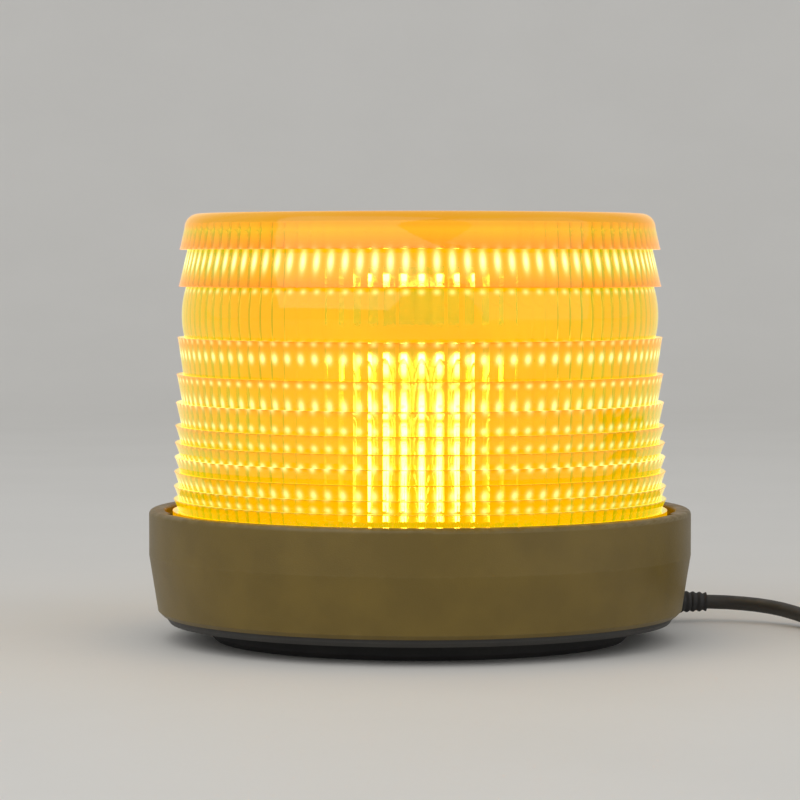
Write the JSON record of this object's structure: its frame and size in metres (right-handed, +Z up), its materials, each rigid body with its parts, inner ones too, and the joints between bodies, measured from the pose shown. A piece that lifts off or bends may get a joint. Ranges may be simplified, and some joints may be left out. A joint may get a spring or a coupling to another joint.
{
  "type": "rotating beacon",
  "caption": "Amber rotating warning beacon: prism-ring lens over a motor-driven reflector and lamp, on a low round base with a magnetic foot and a plug-in supply cord.",
  "frame": {"origin": "on the floor at the middle of the magnetic foot", "axes": "+Z up along the lamp's axis, front of the beam at rest towards -Y, supply cord leaves towards +X and +Y"},
  "size_m": [0.303, 0.2177, 0.1256],
  "materials": {
    "black_plastic": "moulded black ABS, fine satin texture",
    "amber_lens": "clear amber polycarbonate, polished",
    "rubber": "matt black rubber",
    "steel": "zinc-plated steel",
    "ferrite": "dark grey sintered ferrite",
    "zinc": "die-cast, bare",
    "white_nylon": "natural nylon",
    "reflector_metal": "bright metallised",
    "brass": "plain brass",
    "phenolic": "brown phenolic",
    "bulb_glass": "clear glass",
    "filament": "lit tungsten coil and its support wires",
    "core_insulation": "red PVC insulation",
    "cord_sheath": "black PVC sheath, satin"
  },
  "bodies": {
    "base": {"base_housing": "black_plastic", "bottom_cover": "black_plastic", "cover_screws": "steel", "rubber_foot": "rubber", "magnet_pot": "steel", "magnet_ring": "ferrite", "magnet_bolt": "steel", "magnet_nut": "steel", "lens_gasket": "rubber", "lamp_post": "zinc", "post_screws": "steel", "thrust_washer": "white_nylon", "retaining_clip": "steel", "motor_can": "steel", "motor_end_cap": "black_plastic", "motor_terminals": "brass", "motor_screws": "steel", "socket_shell": "brass", "socket_insulator": "phenolic", "socket_contact": "brass", "contact_spring": "steel", "bulb_cap": "brass", "bulb_glass": "bulb_glass", "bulb_stem": "bulb_glass", "bulb_filament": "filament", "terminal_block": "white_nylon", "terminal_screws": "steel", "supply_cores": "core_insulation", "motor_leads": "core_insulation", "lamp_lead": "core_insulation", "cord_gland": "rubber", "supply_cord": "cord_sheath", "cord_coil": "cord_sheath", "plug_cord": "cord_sheath", "plug_shell": "black_plastic", "plug_nose": "black_plastic", "plug_side_contacts": "steel"},
    "lens": {"lens": "amber_lens"},
    "rotor": {"ring_gear": "white_nylon", "reflector": "reflector_metal", "reflector_bracket": "steel", "bracket_screws": "steel"},
    "armature": {"motor_shaft": "steel", "pinion": "brass"},
    "plug_pin": {"plug_tip": "brass"}
  },
  "joints": [
    {"name": "rotor_spin", "type": "hinge", "parent": "base", "child": "rotor", "pos_m": [0, 0, 0.0448], "axis": [0, 0, 1], "continuous": true},
    {"name": "motor_spin", "type": "hinge", "parent": "base", "child": "armature", "pos_m": [-0.0297, 0.0297, 0.0438], "axis": [0, 0, 1], "continuous": true},
    {"name": "lens_twist", "type": "hinge", "parent": "base", "child": "lens", "pos_m": [0, 0, 0.0314], "axis": [0, 0, 1], "range_deg": [0, 26]},
    {"name": "plug_tip_slide", "type": "slide", "parent": "base", "child": "plug_pin", "axis": [0, -1, 0], "range_m": [0, 0.003], "stiffness_N_per_m": 600, "springref_m": -0.002}
  ],
  "couplings": [
    {"joint": "motor_spin", "follows": "rotor_spin", "ratio": -6}
  ]
}
